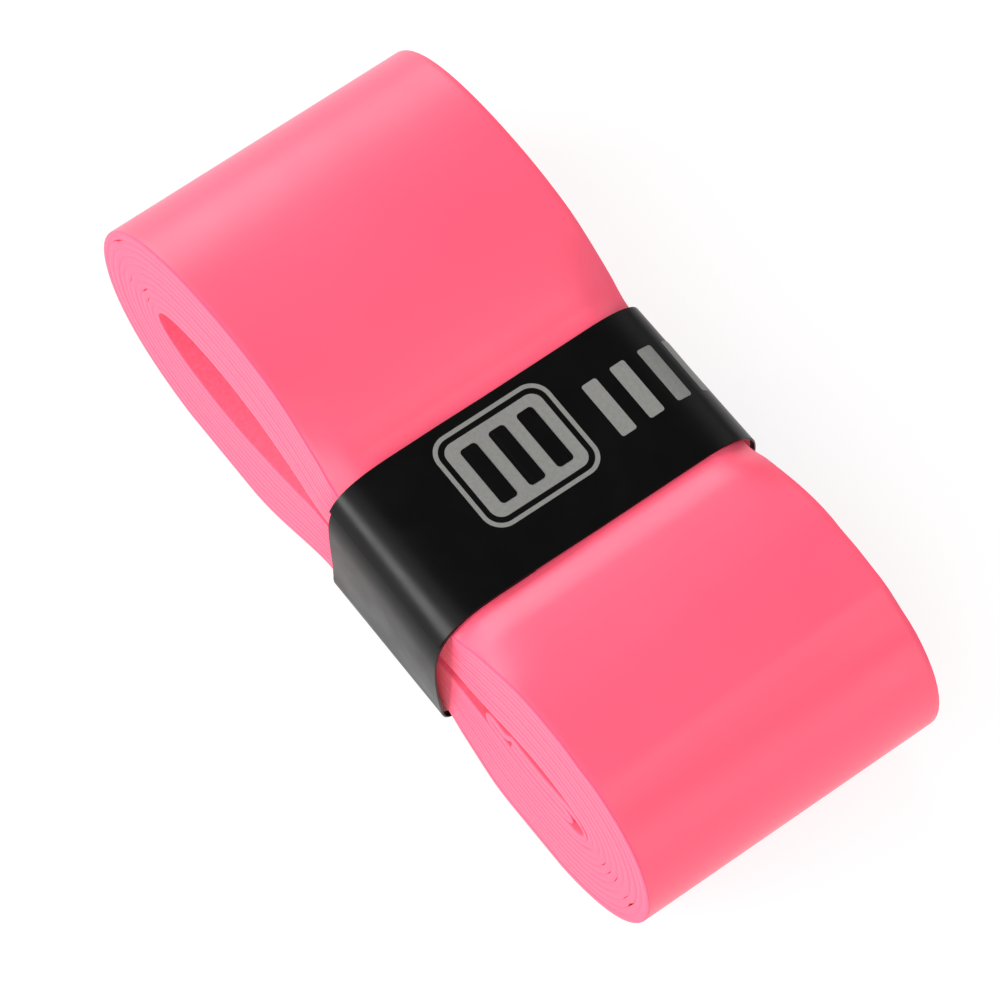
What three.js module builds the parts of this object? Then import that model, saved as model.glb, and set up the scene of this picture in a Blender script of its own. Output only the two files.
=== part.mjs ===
// A racket grip tape roll: one long strip of cushioned tape wound flat into a
// two-lobed bundle, pinched at its waist by a printed band. Millimetres, +Z up.
// X runs along the bundle, Y across the tape, and the bundle lies on z = 0.
import * as THREE from "three";

// ---- Driving dimensions ----
// The tape: a polyurethane coat on a felt backing, coat outwards.
const TAPE_WIDTH = 25;
const COAT_THICKNESS = 0.25;
const BACKING_THICKNESS = 0.32;
const LAMINATE_GAP = 0.03;
const TURN_GAP = 0.055;
const TURNS = 10;

// The open core that the turns are wound around, seen from the side.
const CORE_LENGTH = 47.8;
const HOLLOW_HEIGHT = 4.4;
const HOLLOW_NOSE = 7.5;
const HOLLOW_TAPER = 14.5;
const POCKET_HEIGHT = 2.8;
const POCKET_NOSE = 5.2;
const POCKET_TAPER = 10.5;
const WAIST_CLEARANCE = 0.1;
const CORE_TILT = -0.0105;
const WAIST_DIP = 0.6;
const WAIST_DIP_REACH = 7.5;
const WAIST_DIP_X = -0.5;

// The waist that the band presses flat, and the flats that the lobes rest on.
const BAND_CENTRE_X = 2.65;
const WAIST_HEIGHT = 13.3;
const WAIST_RISE = 0.15;
const WAIST_FADE = 2.5;
const REST_FLAT = 0.25;

// The start of the tape, folded up inside the pocket. Insets are measured
// from the pocket's nose.
const FOLDED_SLIT = 0.1;
const NESTED_SLIT = 0.04;
const OUTER_FOLD_INSET = 2.3;
const INNER_FOLD_INSET = 3.6;
const BACK_FOLD_INSET = 9.9;
const START_INSET = 7.9;
const START_WIDTH = 9;
const START_TAPER_LENGTH = 45;

// The double-sided tab on the back of the tape's start, and its release paper.
const TAB_THICKNESS = 0.1;
const TAB_WIDTH = 7;
const TAB_GAP = 0.03;
const TAB_END_INSET = 6.3;
const PAPER_THICKNESS = 0.07;
const PAPER_WIDTH = 8;

// The band: a finishing tape on its release paper, wrapped round the waist.
const BAND_WIDTH = 12.5;
const BAND_FILM_THICKNESS = 0.16;
const BAND_PAPER_THICKNESS = 0.1;
const BAND_LAYER_GAP = 0.03;
const BAND_CLEARANCE = 0.12;
const BAND_SIDE_ROOM = 0.9;
const BAND_CORNER_LEAD = 0.35;
const BAND_CORNER_DROP = 2;
const BAND_OVERLAP_DROP = 2.9;
const BAND_START_INSET = 6.5;
const BAND_START_GAP = 0.5;
const BAND_RAMP_LENGTH = 6;

// How finely curves are cut into flat facets.
const STATIONS_PER_TURN = 38;
const TURNING_WEIGHT = 10;
const FOLD_STEPS = 6;
const RUN_STEP = 1.2;
const CORNER_STEPS = 5;
const SIDE_STEPS = 3;
const LOOP_SAMPLES = 1600;

const TAPE_THICKNESS = COAT_THICKNESS + LAMINATE_GAP + BACKING_THICKNESS;
const PITCH = TAPE_THICKNESS + TURN_GAP;

// ---- Materials ----
const coatMaterial = new THREE.MeshStandardMaterial({ color: 0xff6585, roughness: 0.42 });
const backingMaterial = new THREE.MeshStandardMaterial({ color: 0xff8fb2, roughness: 0.95 });
const tabMaterial = new THREE.MeshStandardMaterial({ color: 0xece6cf, roughness: 0.5 });
const paperMaterial = new THREE.MeshStandardMaterial({ color: 0xf2efe6, roughness: 0.7 });
const bandMaterial = new THREE.MeshStandardMaterial({ color: 0x17151a, roughness: 0.38 });

// ---- The core outline ----
const leftTipX = -CORE_LENGTH / 2;
const rightTipX = CORE_LENGTH / 2;

// Height of the core's middle line.
function coreMiddle(x) {
  const fromDip = (x - WAIST_DIP_X) / WAIST_DIP_REACH;
  return CORE_TILT * (x - leftTipX) - WAIST_DIP * Math.exp(-fromDip * fromDip);
}

// Half the height of one lens of the core: a half ellipse at its nose and a
// smooth taper towards the waist. `inwards` is the distance from its nose.
function lensHalfHeight(inwards, height, nose, taper) {
  if (inwards < nose) {
    const fromCrown = 1 - inwards / nose;
    return (height / 2) * Math.sqrt(Math.max(0, 1 - fromCrown * fromCrown));
  }
  const along = Math.min(1, (inwards - nose) / taper);
  return (height / 4) * (1 + Math.cos(Math.PI * along));
}

function coreHalfHeight(x) {
  const hollow = lensHalfHeight(x - leftTipX, HOLLOW_HEIGHT, HOLLOW_NOSE, HOLLOW_TAPER);
  const pocket = lensHalfHeight(rightTipX - x, POCKET_HEIGHT, POCKET_NOSE, POCKET_TAPER);
  const inWaist = Math.min(x - leftTipX, rightTipX - x) > Math.max(HOLLOW_NOSE, POCKET_NOSE);
  const least = inWaist ? WAIST_CLEARANCE / 2 : 0;
  return Math.max(x < BAND_CENTRE_X ? hollow : pocket, least);
}

// The core outline as a closed loop of points, clockwise seen from -Y: it
// starts under the band on the lower wall and runs to the left nose, along the
// upper wall, round the right nose and back.
function coreLoop() {
  const points = [];
  const half = LOOP_SAMPLES / 2;
  for (let i = 0; i < LOOP_SAMPLES; i++) {
    const upper = i >= half;
    const share = (i % half) / half;
    const x = (upper ? -1 : 1) * (CORE_LENGTH / 2) * Math.cos(Math.PI * share);
    points.push([x, coreMiddle(x) + (upper ? 1 : -1) * coreHalfHeight(x)]);
  }
  const start = points.findIndex((p, i) => i < half && p[0] <= BAND_CENTRE_X);
  return [...points.slice(start), ...points.slice(0, start)];
}

// Stations round one turn: each has a point on the core outline and the
// outward direction there. They are spaced evenly along the middle of the pile.
function turnStations() {
  const loop = coreLoop();
  const n = loop.length;
  const normals = loop.map((_, i) => {
    const before = loop[(i + n - 2) % n];
    const after = loop[(i + 2) % n];
    const length = Math.hypot(after[0] - before[0], after[1] - before[1]);
    return [-(after[1] - before[1]) / length, (after[0] - before[0]) / length];
  });
  const travelled = [0];
  for (let i = 0; i < n; i++) {
    const next = (i + 1) % n;
    const step = Math.hypot(loop[next][0] - loop[i][0], loop[next][1] - loop[i][1]);
    const dot = normals[i][0] * normals[next][0] + normals[i][1] * normals[next][1];
    const turned = Math.acos(Math.min(1, dot));
    travelled.push(travelled[i] + step + TURNING_WEIGHT * turned);
  }
  const stations = [];
  let i = 0;
  for (let k = 0; k < STATIONS_PER_TURN; k++) {
    const goal = (travelled[n] * k) / STATIONS_PER_TURN;
    while (travelled[i + 1] < goal) i++;
    stations.push({ point: loop[i], normal: normals[i] });
  }
  return stations;
}

const turn = turnStations();
const lastStation = TURNS * STATIONS_PER_TURN;
const outerTurn = lastStation - STATIONS_PER_TURN;

// Point of the freely wound pile. `index` counts stations from the innermost
// turn, and `depth` is the distance out from the inner face of the tape there.
function loosePoint(index, depth) {
  const { point, normal } = turn[index % STATIONS_PER_TURN];
  const out = (index / STATIONS_PER_TURN) * PITCH + depth;
  return [point[0] + normal[0] * out, point[1] + normal[1] * out];
}

// The level that flattens both lobes a little where they rest.
function restLevel() {
  let left = 0;
  let right = 0;
  for (let i = outerTurn; i < lastStation; i++) {
    const [x, z] = loosePoint(i, TAPE_THICKNESS);
    if (x < BAND_CENTRE_X) left = Math.min(left, z);
    else right = Math.min(right, z);
  }
  return Math.max(left, right) + REST_FLAT;
}

const floorLevel = restLevel();

// How far the pile's outer face moves up at a station, because the floor
// holds it up and the band holds it flat.
function outerShift(index) {
  const place = index % STATIONS_PER_TURN;
  const outermost = place === 0 ? lastStation : outerTurn + place;
  const [x, z] = loosePoint(outermost, TAPE_THICKNESS);
  const side = Math.sign(turn[place].normal[1]);
  const pressed = coreMiddle(BAND_CENTRE_X) + WAIST_RISE + (side * WAIST_HEIGHT) / 2;
  const past = Math.abs(x - BAND_CENTRE_X) - BAND_WIDTH / 2;
  const grip = 1 - THREE.MathUtils.smoothstep(past, 0, WAIST_FADE);
  return Math.max(floorLevel - z, grip * (pressed - z));
}

// The same point in the resting, banded pile, with the floor at z = 0. The
// outer layers give the most and the innermost one stays.
function pilePoint(index, depth) {
  const [x, z] = loosePoint(index, depth);
  const out = (index / STATIONS_PER_TURN) * PITCH + depth;
  const place = index % STATIONS_PER_TURN;
  const outermost = place === 0 ? lastStation : outerTurn + place;
  const full = (outermost / STATIONS_PER_TURN) * PITCH + TAPE_THICKNESS;
  return [x, z - floorLevel + (outerShift(index) * out) / full];
}

// ---- The tape's start, folded inside the pocket ----
const tapeHalf = TAPE_THICKNESS / 2;
const bare = TURN_GAP + tapeHalf;

const outerFoldX = rightTipX - OUTER_FOLD_INSET;
const innerFoldX = rightTipX - INNER_FOLD_INSET;
const backFoldX = rightTipX - BACK_FOLD_INSET;
const startX = rightTipX - START_INSET;
const tabEndX = rightTipX - TAB_END_INSET;

// The inner face of the first turn, right of the waist: the pocket's wall.
function pocketWall(x, upper) {
  const walls = { upper: [], lower: [] };
  for (let i = 0; i <= STATIONS_PER_TURN; i++) {
    const rising = turn[i % STATIONS_PER_TURN].normal[1] > 0;
    if (rising) walls.upper.push(pilePoint(i, 0));
    else if (i > STATIONS_PER_TURN / 2) walls.lower.unshift(pilePoint(i, 0));
  }
  const wall = upper ? walls.upper : walls.lower;
  const next = Math.max(1, wall.findIndex((point) => point[0] >= x));
  const [from, to] = [wall[next - 1], wall[next]];
  return THREE.MathUtils.mapLinear(x, from[0], to[0], from[1], to[1]);
}

function slitAt(x) {
  return FOLDED_SLIT * THREE.MathUtils.smoothstep(x, BAND_CENTRE_X, backFoldX);
}

// How far the soft layers are squeezed where the pocket is low: 1 is not at all.
function nestSqueeze() {
  const slits = 4 * TURN_GAP + 2 * FOLDED_SLIT + 2 * NESTED_SLIT;
  const tab = 2 * TAB_GAP + TAB_THICKNESS + PAPER_THICKNESS;
  const roomAt = (x) => pocketWall(x, true) - pocketWall(x, false);
  const atStart = roomAt(startX) / (4 * TAPE_THICKNESS + slits + tab);
  const atTabEnd = roomAt(tabEndX) / (4 * TAPE_THICKNESS + slits + 2 * tab);
  return Math.min(1, atStart, atTabEnd);
}

const squeeze = nestSqueeze();

// Middle height of each folded layer. A and B are the outer pair, C and D lie
// between them.
const layerHeight = {
  A: (x) => pocketWall(x, false) + squeeze * (slitAt(x) + bare),
  B: (x) => pocketWall(x, true) - squeeze * (slitAt(x) + bare),
  C: (x) => layerHeight.A(x) + squeeze * (PITCH + NESTED_SLIT),
  D: (x) => layerHeight.B(x) - squeeze * (PITCH + NESTED_SLIT),
};

// A station of a folded layer: the tape's middle, and its outward direction.
function straightRun(layer, fromX, toX) {
  const steps = Math.max(2, Math.round(Math.abs(toX - fromX) / RUN_STEP));
  const up = layer === "B" || layer === "D" ? 1 : -1;
  const stations = [];
  for (let i = 0; i <= steps; i++) {
    const x = fromX + ((toX - fromX) * i) / steps;
    stations.push({ middle: [x, layerHeight[layer](x)], normal: [0, up] });
  }
  return stations;
}

// The fold that joins two layers at x: a half circle, open towards the run.
function foldAt(x, fromLayer, toLayer, outwards) {
  const from = layerHeight[fromLayer](x);
  const to = layerHeight[toLayer](x);
  const centre = (from + to) / 2;
  const radius = Math.abs(from - to) / 2;
  const up = from > to ? 1 : -1;
  const stations = [];
  for (let i = 1; i < FOLD_STEPS; i++) {
    const angle = (Math.PI * i) / FOLD_STEPS;
    const normal = [outwards * Math.sin(angle), up * Math.cos(angle)];
    stations.push({ middle: [x + normal[0] * radius, centre + normal[1] * radius], normal });
  }
  return stations;
}

const firstPileX = turn[0].point[0];
const tabRun = [
  ...straightRun("D", startX, innerFoldX),
  ...foldAt(innerFoldX, "D", "C", 1),
  ...straightRun("C", innerFoldX, tabEndX),
];
const foldedStart = [
  ...tabRun,
  ...straightRun("C", tabEndX, backFoldX).slice(1),
  ...foldAt(backFoldX, "C", "B", -1),
  ...straightRun("B", backFoldX, outerFoldX),
  ...foldAt(outerFoldX, "B", "A", 1),
  ...straightRun("A", outerFoldX, firstPileX).slice(0, -1),
];

function foldedPoint(station, depth) {
  const out = squeeze * (depth - tapeHalf);
  const { middle, normal } = station;
  return [middle[0] + normal[0] * out, middle[1] + normal[1] * out];
}

// ---- Ribbons ----
// A ribbon is a list of rings. Each ring has the inner and the outer point of
// the section and the two edges along the ribbon's width.
function ringAt(inner, outer, low, high) {
  return { inner, outer, low, high };
}

// The closed solid through the rings. `lift` turns (section point, width
// place) into (x, y, z).
function ribbonGeometry(rings, lift) {
  const positions = [];
  const corners = rings.map(({ inner, outer, low, high }) => [
    lift(inner, low), lift(outer, low), lift(outer, high), lift(inner, high)]);
  const quad = (a, b, c, d) => positions.push(...a, ...b, ...c, ...a, ...c, ...d);
  for (let i = 0; i + 1 < corners.length; i++) {
    for (let k = 0; k < 4; k++) {
      const next = (k + 1) % 4;
      quad(corners[i][k], corners[i + 1][k], corners[i + 1][next], corners[i][next]);
    }
  }
  const first = corners[0];
  const last = corners[corners.length - 1];
  quad(first[0], first[1], first[2], first[3]);
  quad(last[3], last[2], last[1], last[0]);
  const geometry = new THREE.BufferGeometry();
  geometry.setAttribute("position", new THREE.Float32BufferAttribute(positions, 3));
  geometry.computeVertexNormals();
  return geometry;
}

const liftTape = (point, y) => [point[0], y, point[1]];
const liftBand = (point, x) => [x, point[0], point[1]];

// Sections of the tape between two depths, from its start to its outer end.
function tapeSections(fromDepth, toDepth) {
  const folded = foldedStart.map((s) => [foldedPoint(s, fromDepth), foldedPoint(s, toDepth)]);
  const wound = [];
  for (let i = 0; i <= lastStation; i++) {
    wound.push([pilePoint(i, fromDepth), pilePoint(i, toDepth)]);
  }
  return [...folded, ...wound];
}

// The start of the tape is cut at a slant, so it widens over its first stretch.
function tapeRings(fromDepth, toDepth) {
  const low = -TAPE_WIDTH / 2;
  let along = 0;
  let last = null;
  return tapeSections(fromDepth, toDepth).map(([inner, outer]) => {
    if (last) along += Math.hypot(outer[0] - last[0], outer[1] - last[1]);
    last = outer;
    const share = Math.min(1, along / START_TAPER_LENGTH);
    const width = THREE.MathUtils.lerp(START_WIDTH, TAPE_WIDTH, share);
    return ringAt(inner, outer, low, low + width);
  });
}

// A thin strip on the back of the tape's start, round its innermost fold.
function startStripRings(fromDepth, toDepth, width) {
  const low = -TAPE_WIDTH / 2 + (START_WIDTH - width) / 2;
  return tabRun.map((s) =>
    ringAt(foldedPoint(s, fromDepth), foldedPoint(s, toDepth), low, low + width));
}

// ---- The band ----
// Lowest and highest point of the pile where the band goes round it.
function pileExtent() {
  const lows = [];
  const highs = [];
  const reach = BAND_WIDTH / 2 + BAND_CLEARANCE;
  for (let i = lastStation - STATIONS_PER_TURN; i < lastStation; i++) {
    const from = pilePoint(i, TAPE_THICKNESS);
    const to = pilePoint(i + 1, TAPE_THICKNESS);
    const ends = [from[0], to[0]].map((x) =>
      THREE.MathUtils.clamp(x, BAND_CENTRE_X - reach, BAND_CENTRE_X + reach));
    if (ends[0] === ends[1]) continue;
    const heights = ends.map((x) => THREE.MathUtils.mapLinear(x, from[0], to[0], from[1], to[1]));
    if (turn[i % STATIONS_PER_TURN].normal[1] > 0) highs.push(...heights);
    else lows.push(...heights);
  }
  return [Math.min(...lows), Math.max(...highs)];
}

// Stations round the band, from its start on the top, over the near side,
// under the pile, up the far side and over the near side again.
function bandStations() {
  const [low, high] = pileExtent();
  const top = high + BAND_CLEARANCE;
  const bottom = low - BAND_CLEARANCE;
  const side = TAPE_WIDTH / 2 + BAND_SIDE_ROOM;
  const reach = BAND_SIDE_ROOM + BAND_CORNER_LEAD;
  const drop = BAND_CORNER_DROP;
  const stations = [];
  const put = (y, z, normalY, normalZ) => stations.push({ middle: [y, z], normal: [normalY, normalZ] });
  const corner = (y, z, fromAngle) => {
    for (let i = 0; i <= CORNER_STEPS; i++) {
      const angle = fromAngle + ((Math.PI / 2) * i) / CORNER_STEPS;
      const normal = new THREE.Vector2(drop * Math.cos(angle), reach * Math.sin(angle)).normalize();
      put(y + reach * Math.cos(angle), z + drop * Math.sin(angle), normal.x, normal.y);
    }
  };
  const straight = (fromY, fromZ, toY, toZ, normalY, normalZ) => {
    for (let i = 1; i < SIDE_STEPS; i++) {
      const share = i / SIDE_STEPS;
      put(fromY + (toY - fromY) * share, fromZ + (toZ - fromZ) * share, normalY, normalZ);
    }
  };
  put(-side + reach + BAND_START_INSET, top, 0, 1);
  corner(-side + reach, top - drop, Math.PI / 2);
  straight(-side, top - drop, -side, bottom + drop, -1, 0);
  corner(-side + reach, bottom + drop, Math.PI);
  straight(-side + reach, bottom, side - reach, bottom, 0, -1);
  corner(side - reach, bottom + drop, 1.5 * Math.PI);
  straight(side, bottom + drop, side, top - drop, 1, 0);
  corner(side - reach, top - drop, 0);
  const onceRound = stations.length;
  const rampEnd = -side + reach + BAND_START_INSET + BAND_START_GAP;
  put(rampEnd + BAND_RAMP_LENGTH, top, 0, 1);
  put(rampEnd, top, 0, 1);
  corner(-side + reach, top - drop, Math.PI / 2);
  put(-side, top - BAND_OVERLAP_DROP, -1, 0);
  return { stations, onceRound };
}

const band = bandStations();
const filmDepth = BAND_PAPER_THICKNESS + BAND_LAYER_GAP;
const overlapRise = BAND_FILM_THICKNESS + BAND_LAYER_GAP;

function bandRing(station, fromDepth, toDepth) {
  const { middle, normal } = station;
  const at = (depth) => [middle[0] + normal[0] * depth, middle[1] + normal[1] * depth];
  const low = BAND_CENTRE_X - BAND_WIDTH / 2;
  return ringAt(at(fromDepth), at(toDepth), low, low + BAND_WIDTH);
}

// The film goes once round and then laps over its own start.
function bandFilmRings() {
  return band.stations.map((station, i) => {
    const rise = i > band.onceRound ? overlapRise : 0;
    return bandRing(station, filmDepth + rise, filmDepth + rise + BAND_FILM_THICKNESS);
  });
}

// The release paper stops where the film begins to lap over itself.
function bandPaperRings() {
  return band.stations
    .slice(0, band.onceRound + 1)
    .map((station) => bandRing(station, 0, BAND_PAPER_THICKNESS));
}

// ---- Assembly ----
function namedMesh(name, geometry, material) {
  const mesh = new THREE.Mesh(geometry, material);
  mesh.name = name;
  return mesh;
}

const tabDepth = -TAB_GAP - TAB_THICKNESS;
const paperDepth = tabDepth - TAB_GAP - PAPER_THICKNESS;

const tape = new THREE.Group();
tape.add(
  namedMesh("tape_backing", ribbonGeometry(tapeRings(0, BACKING_THICKNESS), liftTape), backingMaterial),
  namedMesh(
    "tape_coat",
    ribbonGeometry(tapeRings(BACKING_THICKNESS + LAMINATE_GAP, TAPE_THICKNESS), liftTape),
    coatMaterial),
  namedMesh(
    "start_tab",
    ribbonGeometry(startStripRings(tabDepth, -TAB_GAP, TAB_WIDTH), liftTape),
    tabMaterial),
  namedMesh(
    "start_tab_paper",
    ribbonGeometry(startStripRings(paperDepth, paperDepth + PAPER_THICKNESS, PAPER_WIDTH), liftTape),
    paperMaterial),
);

const bandLoop = new THREE.Group();
bandLoop.add(
  namedMesh("band_film", ribbonGeometry(bandFilmRings(), liftBand), bandMaterial),
  namedMesh("band_paper", ribbonGeometry(bandPaperRings(), liftBand), paperMaterial),
);

// The frame's origin is the middle of the whole outline, on the floor.
const placed = new THREE.Group();
placed.add(tape, bandLoop);
const middle = new THREE.Box3().setFromObject(placed).getCenter(new THREE.Vector3());
placed.position.set(-middle.x, -middle.y, 0);

const roll = new THREE.Group();
roll.add(placed);

export default roll;
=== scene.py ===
import math

import bpy
import numpy as np
from mathutils import Matrix, Vector


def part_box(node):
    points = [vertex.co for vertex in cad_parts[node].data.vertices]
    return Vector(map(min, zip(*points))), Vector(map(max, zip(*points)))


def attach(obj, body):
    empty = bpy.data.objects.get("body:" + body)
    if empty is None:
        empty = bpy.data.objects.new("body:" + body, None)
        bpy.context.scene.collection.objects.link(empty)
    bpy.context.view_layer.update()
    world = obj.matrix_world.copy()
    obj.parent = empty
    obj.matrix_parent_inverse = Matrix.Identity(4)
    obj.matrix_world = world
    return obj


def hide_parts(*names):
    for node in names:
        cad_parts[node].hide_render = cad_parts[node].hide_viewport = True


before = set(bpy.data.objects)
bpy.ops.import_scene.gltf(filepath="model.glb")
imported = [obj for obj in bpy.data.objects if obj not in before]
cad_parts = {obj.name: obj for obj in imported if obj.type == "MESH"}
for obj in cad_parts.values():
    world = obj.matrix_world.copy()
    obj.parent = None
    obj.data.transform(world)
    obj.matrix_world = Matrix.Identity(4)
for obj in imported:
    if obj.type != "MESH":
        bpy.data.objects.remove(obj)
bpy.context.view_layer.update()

MM = 0.001

# ---- The tape, in millimetres, as in the CAD source ----
TAPE_WIDTH = 25.0
TAPE_THICKNESS = 0.60          # the CAD tape, which sets the layout
PITCH = 0.655
TURNS = 10
CORE_LENGTH = 47.8
HOLLOW = (4.4, 7.5, 14.5)      # height, nose, taper
POCKET = (2.8, 5.2, 10.5)
WAIST_CLEARANCE = 0.1
CORE_TILT = -0.0105
WAIST_DIP, WAIST_DIP_REACH, WAIST_DIP_X = 0.6, 7.5, -0.5
BAND_CENTRE_X = 2.65
BAND_WIDTH = 12.5
WAIST_HEIGHT, WAIST_RISE, WAIST_FADE = 13.3, 0.15, 2.5
REST_FLAT = 0.25
TURN_GAP = 0.055
START_WIDTH, START_TAPER = 9.0, 45.0

# ---- How the visible tape differs ----
FELT_TOP = 0.345               # depth where the felt meets the coat
COAT_TOP = 0.6535              # the soft tape nearly fills its turn
SKIN_GAP = 0.001               # between the felt and the coat
EDGE_ROUND = 0.005             # the long edges' rounding inside the pile
OUTER_ROUND = 0.10             # and on the outermost turn
EDGE_WANDER = 0.012            # how far the long edges stray from straight
STATIONS = 176                 # along one turn
OUTLINE_POINTS = 6400          # on the core outline that the stations are picked from
RADIAN_WORTH = 7.0             # a radian of turning gets the stations of this many mm
SOFT_FROM, SOFT_TO = 9, 13     # from the band's middle, where softened directions fade out

LEFT_TIP, RIGHT_TIP = -CORE_LENGTH / 2, CORE_LENGTH / 2

# ---- How the pile gives way under the band and on the right lobe ----
DROOP = 1.62                   # how far the long edges are rounded down
DROOP_FROM, DROOP_TO = 8.6, 13.4
DROOP_FADE = 8.0               # along X, past the band's edge
OPENING_RIGHT = (0.42, 9.6, 2.6)    # height, place, reach: the inner turns stand apart
OPENING_LEFT = (-0.22, -6.0, 1.6)   # and close up
RIPPLE_FINE, RIPPLE_COARSE = 0.05, 0.06
FLOOR_LIFT = 0.004             # keeps the inner turns just over the floor
START_SHARE = 0.05             # how far out in the pile the folded start counts as
PRESSED = 0.0015               # the share of its depth that the tape loses in the pile
BACK_DEPTH = 0.01              # up to this depth it is the felt's back, and loses nothing

# Small gaps between the turns at the lobes' ends: x, height, length along the tape, depth.
SMALL_GAPS = (
    (-28.9, 12.0, 0.60, 0.16),
    (-27.4, 9.2, 0.35, 0.10),
    (-26.0, 9.9, 0.40, 0.12),
    (-25.4, 9.1, 0.30, 0.10),
    (24.2, 7.0, 0.40, 0.08),
    (26.2, 7.4, 0.50, 0.08),
    (27.1, 7.1, 0.50, 0.08),
    (27.9, 7.4, 0.50, 0.08),
    (28.5, 6.5, 0.40, 0.08),
    (29.6, 6.3, 0.55, 0.22),
)
# Along the tape, back from its end: the outermost turn gets no gaps, and its edges
# become softly rounded between two places.
OUTER_LENGTH = 125.0
SOFTER_FROM, SOFTER_TO = 140.0, 128.0


def smoothstep(value, low, high):
    t = np.clip((value - low) / (high - low), 0, 1)
    return t * t * (3 - 2 * t)


def hump(x, middle, reach):
    """A smooth bell of height 1."""
    return np.exp(-((x - middle) / reach) ** 2)


def run_length(points):
    """The distance along a line of points, from its first."""
    return np.concatenate([[0], np.cumsum(np.linalg.norm(np.diff(points, axis=0), axis=1))])


def waves(along, longest, shortest, count, seed):
    """A smooth, seeded wobble of about unit height."""
    rng = np.random.default_rng(seed)
    lengths = np.geomspace(longest, shortest, count)
    phases = rng.uniform(0, 2 * math.pi, count)
    heights = rng.uniform(0.5, 1.0, count)
    total = sum(height * np.sin(2 * math.pi * along / length + phase)
                for height, length, phase in zip(heights, lengths, phases))
    return total / math.sqrt(count)


def add_object(name, data):
    thing = bpy.data.objects.new(name, data)
    bpy.context.scene.collection.objects.link(thing)
    return thing


# ---- The core outline ----
def core_middle(x):
    return CORE_TILT * (x - LEFT_TIP) - WAIST_DIP * hump(x, WAIST_DIP_X, WAIST_DIP_REACH)


def lens(inwards, height, nose, taper):
    """Half the height of a hollow: a round nose, then a taper to nothing."""
    crown = 1 - inwards / nose
    round_part = height / 2 * np.sqrt(np.clip(1 - crown * crown, 0, 1))
    along = np.clip((inwards - nose) / taper, 0, 1)
    return np.where(inwards < nose, round_part, height / 4 * (1 + np.cos(math.pi * along)))


def core_half(x):
    """Half the height of the core, which is never closer than the waist's clearance inside."""
    half = np.where(x < BAND_CENTRE_X, lens(x - LEFT_TIP, *HOLLOW), lens(RIGHT_TIP - x, *POCKET))
    inner = np.minimum(x - LEFT_TIP, RIGHT_TIP - x) > max(HOLLOW[1], POCKET[1])
    return np.maximum(half, np.where(inner, WAIST_CLEARANCE / 2, 0))


def softened(out, spot):
    """The outline is hollow beside the band. The directions are averaged over a few
    stations there, so that the outer turns do not fold over themselves."""
    soft = sum((4 - abs(k)) * np.roll(out, k, 0) for k in range(-3, 4))
    soft /= np.linalg.norm(soft, axis=1)[:, None]
    near = (1 - smoothstep(np.abs(spot[:, 0] - BAND_CENTRE_X), SOFT_FROM, SOFT_TO))[:, None]
    out = out * (1 - near) + soft * near
    return out / np.linalg.norm(out, axis=1)[:, None]


def turn_stations():
    """Points on the core outline and outward directions, clockwise seen from -Y.
    Stations lie closer together where the outline turns."""
    n = OUTLINE_POINTS
    half = n // 2
    i = np.arange(n)
    upper = i >= half
    x = np.where(upper, -1, 1) * CORE_LENGTH / 2 * np.cos(math.pi * (i % half) / half)
    z = core_middle(x) + np.where(upper, 1, -1) * core_half(x)
    points = np.stack([x, z], 1)
    first = int(np.argmax((i < half) & (x <= BAND_CENTRE_X)))
    points = np.roll(points, -first, 0)
    run = np.roll(points, -4, 0) - np.roll(points, 4, 0)
    run /= np.linalg.norm(run, axis=1)[:, None]
    normals = np.stack([-run[:, 1], run[:, 0]], 1)
    step = np.linalg.norm(np.roll(points, -1, 0) - points, axis=1)
    dot = (normals * np.roll(normals, -1, 0)).sum(1)
    turned = np.arccos(np.clip(dot, -1, 1))
    travelled = np.concatenate([[0], np.cumsum(step + RADIAN_WORTH * turned)])
    goals = travelled[-1] * np.arange(STATIONS) / STATIONS
    pick = np.searchsorted(travelled, goals) % n
    return points[pick], softened(normals[pick], points[pick])


turn_point, turn_normal = turn_stations()
LAST = TURNS * STATIONS
# The outermost station at each place round the turn.
place_outermost = np.where(np.arange(STATIONS) == 0, LAST, LAST - STATIONS + np.arange(STATIONS))


def loose(index, depth):
    """Points of the pile before it is pressed by the floor and the band."""
    out = index / STATIONS * PITCH + depth
    return turn_point[index % STATIONS] + turn_normal[index % STATIONS] * np.asarray(out)[:, None]


outer_face = loose(place_outermost, TAPE_THICKNESS)
is_left = outer_face[:, 0] < BAND_CENTRE_X
FLOOR = max(outer_face[is_left, 1].min(), outer_face[~is_left, 1].min()) + REST_FLAT


def outer_shift():
    """How far the floor and the band move the outer face, up or down."""
    side = np.sign(turn_normal[:, 1])
    pressed = core_middle(np.float64(BAND_CENTRE_X)) + WAIST_RISE + side * WAIST_HEIGHT / 2
    past = np.abs(outer_face[:, 0] - BAND_CENTRE_X) - BAND_WIDTH / 2
    grip = 1 - smoothstep(past, 0, WAIST_FADE)
    return np.maximum(FLOOR - outer_face[:, 1], grip * (pressed - outer_face[:, 1]))


SHIFT = outer_shift()
FULL = place_outermost / STATIONS * PITCH + TAPE_THICKNESS


def pile(index, depth):
    """Points of the resting, banded pile, and how far out in it they are."""
    place = index % STATIONS
    share = (index / STATIONS * PITCH + depth) / FULL[place]
    points = loose(index, depth)
    points[:, 1] += SHIFT[place] * share - FLOOR
    return points, share


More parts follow.
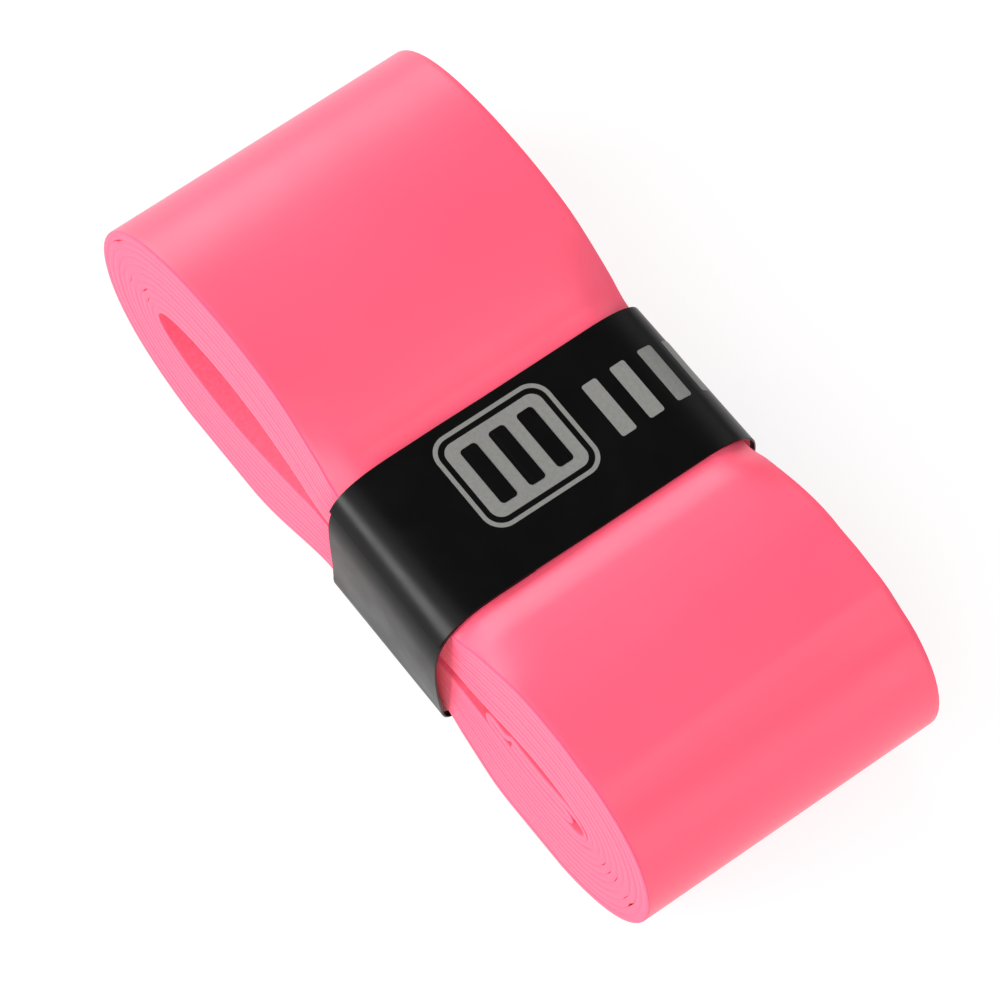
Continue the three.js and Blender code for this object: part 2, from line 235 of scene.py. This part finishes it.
# ---- The start of the tape, folded in the pocket ----
inner_wall, _ = pile(np.arange(STATIONS + 1), 0.0)
wall_normal = turn_normal[np.arange(STATIONS + 1) % STATIONS]
on_top = wall_normal[:, 1] > 0
upper_wall = inner_wall[on_top]
lower_wall = inner_wall[~on_top & (np.arange(STATIONS + 1) > STATIONS / 2)][::-1]
half_tape = TAPE_THICKNESS / 2
OUTER_FOLD, INNER_FOLD = RIGHT_TIP - 2.1, RIGHT_TIP - 2.3
BACK_FOLD, START_X = RIGHT_TIP - 9.9, RIGHT_TIP - 7.9
NEST_ROOM = 0.03               # left over the topmost layer
NEST_STEP_MIN, NEST_STEP_MAX = 0.40, 0.75
NOSE_REACH, BACK_REACH = 2.1, 1.3   # how far a fold bulges, over half its height
FOLD_STEPS = 18


def nest_step(x):
    """The height from one folded layer to the next, and how many steps the pocket holds."""
    low = np.interp(x, lower_wall[:, 0], lower_wall[:, 1])
    high = np.interp(x, upper_wall[:, 0], upper_wall[:, 1])
    layers = 2 + smoothstep(x, START_X - 0.8, START_X)
    room = high - low - 2 * TURN_GAP - TAPE_THICKNESS - NEST_ROOM
    return np.clip(room / layers, NEST_STEP_MIN, NEST_STEP_MAX), layers


def flatness(x):
    """How much of its thickness the soft tape keeps, pressed in the nest of folded layers."""
    return 1 - (1 - nest_step(x)[0] / PITCH) * smoothstep(x, BACK_FOLD - 1.5, BACK_FOLD + 0.5)


def layer_height(layer, x):
    """The middle of a folded layer. They lie on the pocket's lower wall, in the order A, C, D, B."""
    x = np.asarray(x, float)
    lowest = np.interp(x, lower_wall[:, 0], lower_wall[:, 1]) + TURN_GAP + half_tape * flatness(x)
    step, layers = nest_step(x)
    return lowest + {"A": 0, "C": 1, "D": 2, "B": layers}[layer] * step


def straight_run(layer, start, end):
    """A folded layer's middle line, and the direction that its coat faces."""
    x = np.linspace(start, end, max(3, int(abs(end - start) / 0.35)))
    up = 1.0 if layer in "BD" else -1.0
    middle = np.stack([x, layer_height(layer, x)], 1)
    return middle, np.tile([0.0, up], (len(x), 1))


def fold_at(x, start, end, outwards):
    """The bend from one layer to another, towards the lobe's end (1) or the waist (-1)."""
    a, b = float(layer_height(start, x)), float(layer_height(end, x))
    angle = math.pi * np.arange(1, FOLD_STEPS) / FOLD_STEPS
    up = 1 if a > b else -1
    normal = np.stack([outwards * np.sin(angle), up * np.cos(angle)], 1)
    reach = NOSE_REACH if outwards > 0 else BACK_REACH
    return np.array([x, (a + b) / 2]) + normal * [reach, 1] * abs(a - b) / 2, normal


folded = [
    straight_run("D", START_X, INNER_FOLD), fold_at(INNER_FOLD, "D", "C", 1),
    straight_run("C", INNER_FOLD, BACK_FOLD), fold_at(BACK_FOLD, "C", "B", -1),
    straight_run("B", BACK_FOLD, OUTER_FOLD), fold_at(OUTER_FOLD, "B", "A", 1),
    tuple(part[:-1] for part in straight_run("A", OUTER_FOLD, turn_point[0, 0])),
]
folded_middle = np.concatenate([f[0] for f in folded])
folded_normal = np.concatenate([f[1] for f in folded])
wound = np.arange(LAST + 1)
all_normal = np.concatenate([folded_normal, turn_normal[wound % STATIONS]])


def section(depth):
    """The tape's section line at one depth, all along it. depth is one number or one per station."""
    depth = np.broadcast_to(np.asarray(depth, float), (len(all_normal),))
    n = len(folded_middle)
    flat = flatness(folded_middle[:, 0])
    start = folded_middle + folded_normal * ((depth[:n] - half_tape) * flat)[:, None]
    rest, share = pile(wound, depth[n:])
    return np.concatenate([start, rest]), np.concatenate([np.full(n, START_SHARE), share])


base_line, _ = section(half_tape)
along = run_length(base_line)
turning = np.abs(np.gradient(np.unwrap(np.arctan2(all_normal[:, 1], all_normal[:, 0]))))
turning = turning / np.maximum(np.gradient(along), 1e-4)
at_nose = smoothstep(turning, 0.05, 0.35)


def thinning():
    """The share of its depth that the tape keeps. The turns lie close on each other,
    but for the small gaps."""
    kept = 1 - PRESSED * (1 + at_nose * waves(along, 31, 7, 6, 3))
    outer_line, _ = section(COAT_TOP)
    for gap_x, gap_z, gap_length, gap_depth in SMALL_GAPS:
        away = np.hypot(outer_line[:, 0] - gap_x, outer_line[:, 1] - gap_z)
        away[along > along[-1] - OUTER_LENGTH] = np.inf
        kept = kept - gap_depth / COAT_TOP * hump(along, along[int(np.argmin(away))], gap_length)
    return kept


thin = thinning()
near_edge = -TAPE_WIDTH / 2 + EDGE_WANDER * waves(along, 330, 60, 6, 11)
width = START_WIDTH + (TAPE_WIDTH - START_WIDTH) * np.clip(along / START_TAPER, 0, 1)
far_edge = -TAPE_WIDTH / 2 + width + EDGE_WANDER * waves(along, 290, 60, 6, 12)

# Whole-strip offsets, so that the visible tape is centred as the CAD tape is.
coat_low, coat_high = (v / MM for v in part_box("tape_coat"))
cad_line, _ = section(TAPE_THICKNESS)
middle_x = (coat_low.x + coat_high.x) / 2 - (cad_line[:, 0].max() + cad_line[:, 0].min()) / 2
middle_y = (coat_low.y + coat_high.y) / 2


def band_droop(x, y, share, up):
    """The band rounds the pile's long edges off where it passes over them."""
    under = 1 - smoothstep(np.abs(x - BAND_CENTRE_X), BAND_WIDTH / 2 - 0.6, BAND_WIDTH / 2 + DROOP_FADE)
    edge = smoothstep(np.abs(y), DROOP_FROM, DROOP_TO) ** 2
    return -DROOP * under * edge * np.clip(share, 0, 1) * up


def slack(x, y, share, up):
    """The pile's inner turns stand apart a little right of the band and close up left of
    it, and its outer face ripples on the right lobe."""
    share = np.clip(share, 0, 1)
    opening = sum(height * hump(x, middle, reach) for height, middle, reach in (OPENING_RIGHT, OPENING_LEFT))
    near_side = 0.3 + 0.7 * smoothstep(-y, 6, 12)
    fine = RIPPLE_FINE * np.sin(x * 1.9 + 0.35 * np.sin(y / 5))
    coarse = RIPPLE_COARSE * np.sin(x * 1.03 + 1.7 + 0.10 * y)
    where = smoothstep(x, 15, 20) * (1 - smoothstep(x, 26, 29)) * share ** 3
    return up * (opening * (1 - share) * near_side + (fine + coarse) * where * (up > 0))


last_turn = smoothstep(along, along[-1] - SOFTER_FROM, along[-1] - SOFTER_TO)
edge_round = EDGE_ROUND + (OUTER_ROUND - EDGE_ROUND) * last_turn


def tape_rings(profile):
    """Rings of points for a list of (depth, place across, inset) corners of the section."""
    columns = []
    for depth, across, inset in profile:
        line, share = section(np.where(np.asarray(depth) > BACK_DEPTH, depth * thin, depth))
        centre = (near_edge + far_edge) / 2
        half = (far_edge - near_edge) / 2
        y = centre + across * (half - inset)
        x, up = line[:, 0], all_normal[:, 1]
        z = line[:, 1] + band_droop(x, y, share, up) + slack(x, y, share, up)
        z = np.maximum(z, FLOOR_LIFT * (1 - share))
        columns.append(np.stack([x + middle_x, y + middle_y, z], 1))
    return np.stack(columns, 1)


def strip_mesh(name, rings, materials, side_columns=()):
    """A closed strip through the rings, in metres, with flat ends. The side columns
    and the ends take the second material."""
    n, m, _ = rings.shape
    faces, slots = [], []
    for k in range(m):
        nxt = (k + 1) % m
        a = np.arange(n - 1) * m + k
        b = np.arange(n - 1) * m + nxt
        faces += np.stack([a, a + m, b + m, b], 1).tolist()
        slots += [1 if k in side_columns else 0] * (n - 1)
    faces.append(list(range(m)))
    faces.append([(n - 1) * m + k for k in reversed(range(m))])
    slots += [1 if side_columns else 0] * 2
    mesh = bpy.data.meshes.new(name)
    mesh.from_pydata((rings.reshape(-1, 3) * MM).tolist(), [], faces)
    for material in materials:
        mesh.materials.append(material)
    mesh.polygons.foreach_set("material_index", slots)
    mesh.shade_smooth()
    mesh.set_sharp_from_angle(angle=math.radians(40))
    return add_object(name, mesh)


# ---- Materials ----
NOISE_LOW, NOISE_HIGH = 0.3, 0.7     # the part of a noise's range that is used


def new_material(name, colour, roughness, specular=0.5):
    material = bpy.data.materials.new(name)
    material.use_nodes = True
    shader = material.node_tree.nodes["Principled BSDF"]
    shader.inputs["Base Color"].default_value = (*colour, 1)
    shader.inputs["Roughness"].default_value = roughness
    shader.inputs["Specular IOR Level"].default_value = specular
    return material, shader


def noise_node(tree, scale, detail=3.0):
    coords = tree.nodes.new("ShaderNodeTexCoord")
    noise = tree.nodes.new("ShaderNodeTexNoise")
    noise.inputs["Scale"].default_value = scale
    noise.inputs["Detail"].default_value = detail
    tree.links.new(coords.outputs["Object"], noise.inputs["Vector"])
    return noise.outputs["Fac"]


def ramp_node(tree, source, low, high):
    """A noise turned into a colour between two."""
    ramp = tree.nodes.new("ShaderNodeValToRGB")
    ramp.color_ramp.elements[0].position = NOISE_LOW
    ramp.color_ramp.elements[1].position = NOISE_HIGH
    ramp.color_ramp.elements[0].color = (*low, 1)
    ramp.color_ramp.elements[1].color = (*high, 1)
    tree.links.new(source, ramp.inputs["Fac"])
    return ramp.outputs["Color"]


def range_node(tree, source, low, high):
    """A noise turned into a number between two."""
    node = tree.nodes.new("ShaderNodeMapRange")
    node.inputs["From Min"].default_value = NOISE_LOW
    node.inputs["From Max"].default_value = NOISE_HIGH
    node.inputs["To Min"].default_value = low
    node.inputs["To Max"].default_value = high
    tree.links.new(source, node.inputs["Value"])
    return node.outputs["Result"]


def bump_node(tree, shader, source, strength, distance):
    bump = tree.nodes.new("ShaderNodeBump")
    bump.inputs["Strength"].default_value = strength
    bump.inputs["Distance"].default_value = distance
    tree.links.new(source, bump.inputs["Height"])
    tree.links.new(bump.outputs["Normal"], shader.inputs["Normal"])


def coat_material():
    material, shader = new_material("tacky_coat", (0.97, 0.100, 0.178), 0.36, 0.45)
    tree = material.node_tree
    cloud = noise_node(tree, 55, 2)
    tree.links.new(ramp_node(tree, cloud, (0.965, 0.096, 0.172), (0.975, 0.104, 0.184)),
                   shader.inputs["Base Color"])
    tree.links.new(range_node(tree, noise_node(tree, 160, 3), 0.33, 0.40), shader.inputs["Roughness"])
    bump_node(tree, shader, noise_node(tree, 5200, 2), 0.10, 0.00003)
    return material


def felt_material(name, dark, light):
    material, shader = new_material(name, light, 0.95, 0.15)
    tree = material.node_tree
    fibres = noise_node(tree, 3800, 4)
    tree.links.new(ramp_node(tree, fibres, dark, light), shader.inputs["Base Color"])
    shader.inputs["Sheen Weight"].default_value = 0.25
    shader.inputs["Sheen Roughness"].default_value = 0.6
    bump_node(tree, shader, fibres, 0.35, 0.00006)
    return material


def paper_material():
    material, shader = new_material("release_paper", (0.80, 0.77, 0.69), 0.62)
    tree = material.node_tree
    pulp = noise_node(tree, 900, 4)
    tree.links.new(ramp_node(tree, pulp, (0.74, 0.70, 0.61), (0.84, 0.81, 0.74)),
                   shader.inputs["Base Color"])
    bump_node(tree, shader, pulp, 0.15, 0.00003)
    return material


def tab_material():
    material, shader = new_material("tab_adhesive", (0.72, 0.64, 0.44), 0.3)
    tree = material.node_tree
    cloud = noise_node(tree, 700, 3)
    tree.links.new(ramp_node(tree, cloud, (0.66, 0.57, 0.37), (0.76, 0.69, 0.50)),
                   shader.inputs["Base Color"])
    tree.links.new(range_node(tree, cloud, 0.22, 0.4), shader.inputs["Roughness"])
    return material


def film_material():
    material, shader = new_material("band_film_black", (0.0022, 0.0020, 0.0020), 0.32, 0.5)
    tree = material.node_tree
    cloud = noise_node(tree, 260, 3)
    tree.links.new(ramp_node(tree, cloud, (0.0008, 0.0007, 0.0007), (0.0014, 0.0012, 0.0012)),
                   shader.inputs["Base Color"])
    tree.links.new(range_node(tree, noise_node(tree, 420, 3), 0.30, 0.36), shader.inputs["Roughness"])
    shader.inputs["IOR"].default_value = 1.26
    bump_node(tree, shader, noise_node(tree, 2600, 2), 0.08, 0.00002)
    return material


def ink_material():
    material, shader = new_material("band_ink_silver", (0.16, 0.16, 0.152), 0.55, 0.3)
    tree = material.node_tree
    grain = noise_node(tree, 3600, 3)
    tree.links.new(ramp_node(tree, grain, (0.185, 0.185, 0.176), (0.212, 0.212, 0.202)),
                   shader.inputs["Base Color"])
    bump_node(tree, shader, grain, 0.12, 0.00002)
    return material


coat = coat_material()
# The cut edges' colours are darker than the coat's and the felt's faces: painted shade that holds back the
# strong front light on the roll's sides.
shaded_cut_coat = felt_material("coat_cut_edge_painted_shade", (0.965, 0.054, 0.135), (0.975, 0.060, 0.147))
felt = felt_material("dyed_felt", (0.96, 0.100, 0.190), (0.98, 0.140, 0.245))
shaded_cut_felt = felt_material("felt_cut_edge_painted_shade", (0.965, 0.053, 0.133), (0.975, 0.061, 0.149))
paper = paper_material()
film = film_material()
ink = ink_material()

# ---- The tape ----
# Places across the strip, closer near the long edges, which the band rounds off.
HALF_ACROSS = (0.4, 0.68, 0.78, 0.86, 0.92, 0.965, 1)
ACROSS = (*(-a for a in reversed(HALF_ACROSS)), 0, *HALF_ACROSS)
low_coat = FELT_TOP + SKIN_GAP
ends = len(ACROSS) - 1
# A profile is (depth, place across, inset), once round the tape's section. Its side
# columns are the cut edges.
coat_profile = (
    [(low_coat, a, 0) for a in ACROSS]
    + [(COAT_TOP - edge_round, 1, 0), (COAT_TOP - 0.3 * edge_round, 1, 0.3 * edge_round)]
    + [(COAT_TOP, a, edge_round) for a in reversed(ACROSS)]
    + [(COAT_TOP - 0.3 * edge_round, -1, 0.3 * edge_round), (COAT_TOP - edge_round, -1, 0)]
)
coat_sides = (ends, ends + 1, ends + 2, 2 * ends + 3, 2 * ends + 4, 2 * ends + 5)
felt_profile = (
    [(0, a, 0.003) for a in ACROSS] + [(0.006, 1, 0)]
    + [(FELT_TOP, a, 0) for a in reversed(ACROSS)] + [(0.006, -1, 0)]
)
felt_sides = (ends, ends + 1, 2 * ends + 2, 2 * ends + 3)
tape_coat = strip_mesh("tape_coat_skin", tape_rings(coat_profile), [coat, shaded_cut_coat], coat_sides)
tape_felt = strip_mesh("tape_felt_back", tape_rings(felt_profile), [felt, shaded_cut_felt], felt_sides)
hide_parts("tape_coat")
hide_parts("tape_backing")
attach(tape_coat, "bundle")
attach(tape_felt, "bundle")

for node, material in (("start_tab", tab_material()), ("start_tab_paper", paper)):
    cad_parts[node].data.materials.clear()
    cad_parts[node].data.materials.append(material)

# ---- The band ----
paper_low, paper_high = (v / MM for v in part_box("band_paper"))
film_low, film_high = (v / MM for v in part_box("band_film"))
BAND_TOP = paper_high.z - 0.17       # inner face of the release paper
BAND_BOTTOM = paper_low.z + 0.13
BAND_MIDDLE = (film_low.x + film_high.x) / 2
PAPER_THICKNESS, FILM_THICKNESS, FILM_GAP = 0.07, 0.12, 0.01
PAPER_INSET = 0.45                   # the paper is narrower by this at each edge
STEP_OVER = FILM_THICKNESS + FILM_GAP    # how far the band's end lies over its start
SIDE_Y = 13.5                        # the sides, from the tape's middle line
START_Y, OVERLAP_Y = -5.5, -4.9      # the band's start, and where its end passes over it
FOLD_Y, FOOT_Y = -8.6, -11.5         # where the top and the underside turn into the side
FOLD_HEIGHT = 4.4                    # from the top down to the upright side
END_DROP = 2.4                       # how far down the near fold the band ends
SKEW = 0.62                          # how far the top lies along X from the underside
TWIST = 0.22                         # how far a side's +X edge stands out, and the other in
FILM_ROUND = 0.03                    # the rounding of the outer edges
BAND_ACROSS = (-1, -0.8, -0.4, 0, 0.4, 0.8, 1)


def curve(p0, c1, c2, p1, steps):
    """A cubic Bezier curve, without its last point."""
    t = np.linspace(0, 1, steps, endpoint=False)[:, None]
    p0, c1, c2, p1 = (np.array(p, float) for p in (p0, c1, c2, p1))
    return (1 - t) ** 3 * p0 + 3 * (1 - t) ** 2 * t * c1 + 3 * (1 - t) * t ** 2 * c2 + t ** 3 * p1


def line(p0, p1, steps):
    """A straight line, without its last point."""
    t = np.linspace(0, 1, steps, endpoint=False)[:, None]
    return np.array(p0, float) * (1 - t) + np.array(p1, float) * t


def band_path():
    """The band's inner face seen from the end, from its start on the top down
    the near side and all round to its end on the near side."""
    top, low = BAND_TOP, BAND_BOTTOM
    shoulder, foot = (FOLD_Y, top), (FOOT_Y, low)
    side_top = (-SIDE_Y, top - FOLD_HEIGHT)
    side_low = (-12.9, low + 2.2)
    fold = curve(shoulder, (-12.0, top - 0.02), (-SIDE_Y + 0.05, top - 1.2), side_top, 30)
    side = curve(side_top, (-SIDE_Y, top - 6.8), (-13.15, low + 4.2), side_low, 14)
    corner = curve(side_low, (-12.8, low + 0.9), (-12.5, low), foot, 14)
    near = np.concatenate([fold, side, corner])
    far = near[::-1] * [-1, 1]
    return [line((START_Y, top), shoulder, 8), near, line(foot, (-FOOT_Y, low), 14), far,
            line((-FOLD_Y, top), (OVERLAP_Y, top), 22), line((OVERLAP_Y, top), shoulder, 8), fold]


parts = band_path()
# The stations where the near side, the underside, the far side, the top and the overlap begin.
near_from, under_from, far_from, top_from, over_from = np.cumsum([len(part) for part in parts])[:5]
tail = parts[-1][parts[-1][:, 1] > BAND_TOP - END_DROP]
path = np.concatenate([*parts[:-1], tail])
run = np.gradient(path, axis=0)
run /= np.linalg.norm(run, axis=1)[:, None]
path_normal = np.stack([run[:, 1], -run[:, 0]], 1)     # outwards
path_along = run_length(path)
# The end rises over the start on the last part of the top, where the paper ends.
ramp_from = top_from + int(len(parts[4]) * 0.62)
overlap = smoothstep(np.arange(len(path)), ramp_from, over_from)
skew = SKEW * (smoothstep(path_along, path_along[near_from + 6], path_along[near_from + 44])
               - smoothstep(path_along, path_along[under_from], path_along[far_from] + 9))


def twist(y, z):
    """How far the band's +X edge stands out at a place on its side."""
    side = smoothstep(np.abs(y), 12.4, 13.4)
    height = np.clip((z - BAND_BOTTOM) / (BAND_TOP - BAND_BOTTOM), 0, 1)
    return TWIST * np.sign(y) * side * np.sin(math.pi * height)


def band_rings(first, last, inner, thickness, inset=0.0):
    """Rings round a layer of the band, between two stations of its path."""
    rows = slice(first, last)
    half = BAND_WIDTH / 2 - inset
    profile = [(0, a) for a in BAND_ACROSS] + [(1, a) for a in reversed(BAND_ACROSS)]
    columns = []
    for high, a in profile:
        depth = inner + high * thickness + overlap[rows] * STEP_OVER
        y, z = (path[rows] + path_normal[rows] * depth[:, None]).T
        rounding = FILM_ROUND if abs(a) == 1 and high else 0
        x = BAND_MIDDLE + skew[rows] + a * (half - rounding)
        columns.append(np.stack([x, y + middle_y + a * twist(y, z), z], 1))
    return np.stack(columns, 1)


band_film = strip_mesh(
    "band_film_loop", band_rings(0, len(path), PAPER_THICKNESS + FILM_GAP, FILM_THICKNESS), [film])
band_paper = strip_mesh(
    "band_paper_liner", band_rings(0, ramp_from - 1, 0, PAPER_THICKNESS, PAPER_INSET), [paper])
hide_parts("band_film")
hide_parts("band_paper")
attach(band_film, "band")
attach(band_paper, "band")

# ---- The print on the band: a plain badge and a row of plain bars ----
# Places are (x, distance along the band from the middle of the top, towards
# the far side).
INK_LIFT, GAP_LIFT = 0.012, 0.034    # above the film. The badge's gaps lie over its ink
INK_SLOT, FILM_SLOT = 0, 1
# Each is x from and to, along from and to, corner radius.
FRAME_OUTER = (-2.75, 5.35, -6.15, 3.5, 1.55)
FRAME_INNER = (-2.42, 5.02, -5.82, 3.17, 1.25)
PLATE = (-2.0, 4.6, -5.4, 2.75, 0.9)
GAP_X, GAP_HALF, GAP_ROUND = (-1.15, 3.75), 0.68, 0.3
GAP_MIDDLES = (-3.7, -1.3, 1.1)
BAR_X, BAR_FROM, BAR_TO, BAR_ROUND = (-0.3, 4.4), 5.4, 6.65, 0.2
BAR_PITCH, BAR_COUNT = 2.4, 6
STRIP = 0.15                         # the length of one strip of a bar

printed_rows = np.arange(len(path) - 1, far_from - 1, -1)
face_depth = PAPER_THICKNESS + FILM_GAP + FILM_THICKNESS + overlap * STEP_OVER
face_line = (path + path_normal * face_depth[:, None])[printed_rows]
face_normal = path_normal[printed_rows]
face_skew = skew[printed_rows]
face_along = run_length(face_line)
face_along -= face_along[int(np.argmin(np.abs(face_line[:, 0])))]


def on_band(x, s, lift):
    """Points lifted off the film, at x and s along the band."""
    y = np.interp(s, face_along, face_line[:, 0])
    z = np.interp(s, face_along, face_line[:, 1])
    ny = np.interp(s, face_along, face_normal[:, 0])
    nz = np.interp(s, face_along, face_normal[:, 1])
    shift = np.interp(s, face_along, face_skew)
    x = x + shift + BAND_MIDDLE - BAND_CENTRE_X
    return np.stack([x, y + ny * lift + middle_y, z + nz * lift], -1)


def rounded(x0, x1, s0, s1, radius, count=12):
    """The outline of a rounded rectangle."""
    points = []
    for cx, cs, start in ((x1 - radius, s1 - radius, 0), (x0 + radius, s1 - radius, 90),
                          (x0 + radius, s0 + radius, 180), (x1 - radius, s0 + radius, 270)):
        for k in range(count + 1):
            angle = math.radians(start + 90 * k / count)
            points.append((cx + radius * math.cos(angle), cs + radius * math.sin(angle)))
    return np.array(points)


print_points, print_faces, print_slots = [], [], []


def add_grid(grid, slot, closed=False):
    """Faces between the rows of a grid of points. A closed grid's last column meets its first."""
    rows, columns = grid.shape[:2]
    base = len(print_points)
    print_points.extend((grid.reshape(-1, 3) * MM).tolist())
    last = columns if closed else columns - 1
    for r in range(rows - 1):
        for c in range(last):
            d = (c + 1) % columns
            print_faces.append([base + r * columns + c, base + r * columns + d,
                                base + (r + 1) * columns + d, base + (r + 1) * columns + c])
            print_slots.append(slot)


def add_ring(outer, inner, lift, slot):
    """The frame between two outlines."""
    both = np.stack([outer, inner])
    add_grid(on_band(both[..., 0], both[..., 1], lift), slot, closed=True)


def add_bar(x0, x1, s0, s1, radius, lift, slot):
    """A filled rounded rectangle, cut across into strips, so that it follows the band."""
    turn_in = radius * (1 - np.cos(np.linspace(0, math.pi / 2, 9)))
    straight = np.linspace(s0 + radius, s1 - radius, 2 + int((s1 - s0) / STRIP))
    s = np.unique(np.concatenate([s0 + turn_in, straight, s1 - turn_in]))
    from_end = np.minimum(s - s0, s1 - s)
    back = np.clip(1 - from_end / radius, 0, 1)
    pull = radius * (1 - np.sqrt(np.clip(1 - back * back, 0, 1)))
    t = np.linspace(0, 1, 5)[:, None]
    x = (x0 + pull) * (1 - t) + (x1 - pull) * t
    add_grid(on_band(x, np.broadcast_to(s, x.shape), lift), slot)


add_ring(rounded(*FRAME_OUTER), rounded(*FRAME_INNER), INK_LIFT, INK_SLOT)
add_bar(*PLATE, INK_LIFT, INK_SLOT)
for middle in GAP_MIDDLES:
    add_bar(*GAP_X, middle - GAP_HALF, middle + GAP_HALF, GAP_ROUND, GAP_LIFT, FILM_SLOT)
for k in range(BAR_COUNT):
    add_bar(*BAR_X, BAR_FROM + BAR_PITCH * k, BAR_TO + BAR_PITCH * k, BAR_ROUND, INK_LIFT, INK_SLOT)

print_mesh = bpy.data.meshes.new("band_print_marks")
print_mesh.from_pydata(print_points, [], print_faces)
print_mesh.materials.append(ink)
print_mesh.materials.append(film)
print_mesh.polygons.foreach_set("material_index", print_slots)
print_mesh.shade_smooth()
band_print = add_object("band_print_marks", print_mesh)
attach(band_print, "band")

# ---- The stage ----
floor_mesh = bpy.data.meshes.new("floor")
floor_mesh.from_pydata([(-2, -2, 0), (2, -2, 0), (2, 2, 0), (-2, 2, 0)], [], [[0, 1, 2, 3]])
floor_paint, floor_shader = new_material("floor_white", (0.25, 0.25, 0.25), 0.9, 0.1)
floor_shader.inputs["Emission Color"].default_value = (1, 1, 1, 1)
floor_shader.inputs["Emission Strength"].default_value = 0.78
floor_mesh.materials.append(floor_paint)
floor = add_object("floor", floor_mesh)

world = bpy.data.worlds.new("studio")
world.use_nodes = True
world.node_tree.nodes["Background"].inputs["Color"].default_value = (1, 1, 1, 1)
world.node_tree.nodes["Background"].inputs["Strength"].default_value = 0.17
bpy.context.scene.world = world


def soft_light(name, place, size, power):
    """A rectangular light, in metres and watts, aimed at the middle of the floor."""
    light = bpy.data.lights.new(name, "AREA")
    light.shape = "RECTANGLE"
    light.size, light.size_y = size
    light.energy = power
    lamp = add_object(name, light)
    lamp.location = place
    lamp.rotation_mode = "QUATERNION"
    lamp.rotation_quaternion = (Vector((0, 0, 0)) - Vector(place)).to_track_quat("-Z", "Y")


soft_light("left_softbox", (-0.85, 0.05, 0.38), (0.8, 0.5), 5.4)
soft_light("front_softbox", (-0.28, -0.78, 0.27), (0.7, 0.3), 9.0)
soft_light("front_high_softbox", (0.05, -0.60, 0.75), (0.8, 0.5), 2.8)
soft_light("right_front_softbox", (0.60, -0.50, 0.50), (0.5, 0.5), 3.0)
soft_light("right_softbox", (0.75, 0.25, 0.30), (0.3, 0.5), 1.1)
soft_light("back_softbox", (0.0, 0.80, 0.50), (0.8, 0.5), 1.4)
soft_light("waist_softbox", (0.34, 0.27, 0.80), (0.3, 0.3), 0.9)

# ---- The camera, at the photo's angle ----
AZIMUTH, ELEVATION, ROLL = (math.radians(a) for a in (45.672, 63.035, 7.697))
TARGET = Vector((0.649, -1.661, 7.880)) * MM
DISTANCE = 445.78 * MM
back = Vector((math.sin(AZIMUTH) * math.cos(ELEVATION), -math.cos(AZIMUTH) * math.cos(ELEVATION),
               math.sin(ELEVATION)))
level = Vector((math.cos(AZIMUTH), math.sin(AZIMUTH), 0))
up = back.cross(level)
right = level * math.cos(ROLL) + up * math.sin(ROLL)
up = back.cross(right)
camera_data = bpy.data.cameras.new("camera")
camera_data.lens = 234.38
camera_data.sensor_width = 36
camera_data.clip_start, camera_data.clip_end = 0.01, 10
camera = add_object("camera", camera_data)
turn_matrix = Matrix((right, up, back)).transposed().to_4x4()
camera.matrix_world = Matrix.Translation(TARGET + back * DISTANCE) @ turn_matrix
bpy.context.scene.camera = camera
bpy.context.scene.view_settings.view_transform = "Standard"
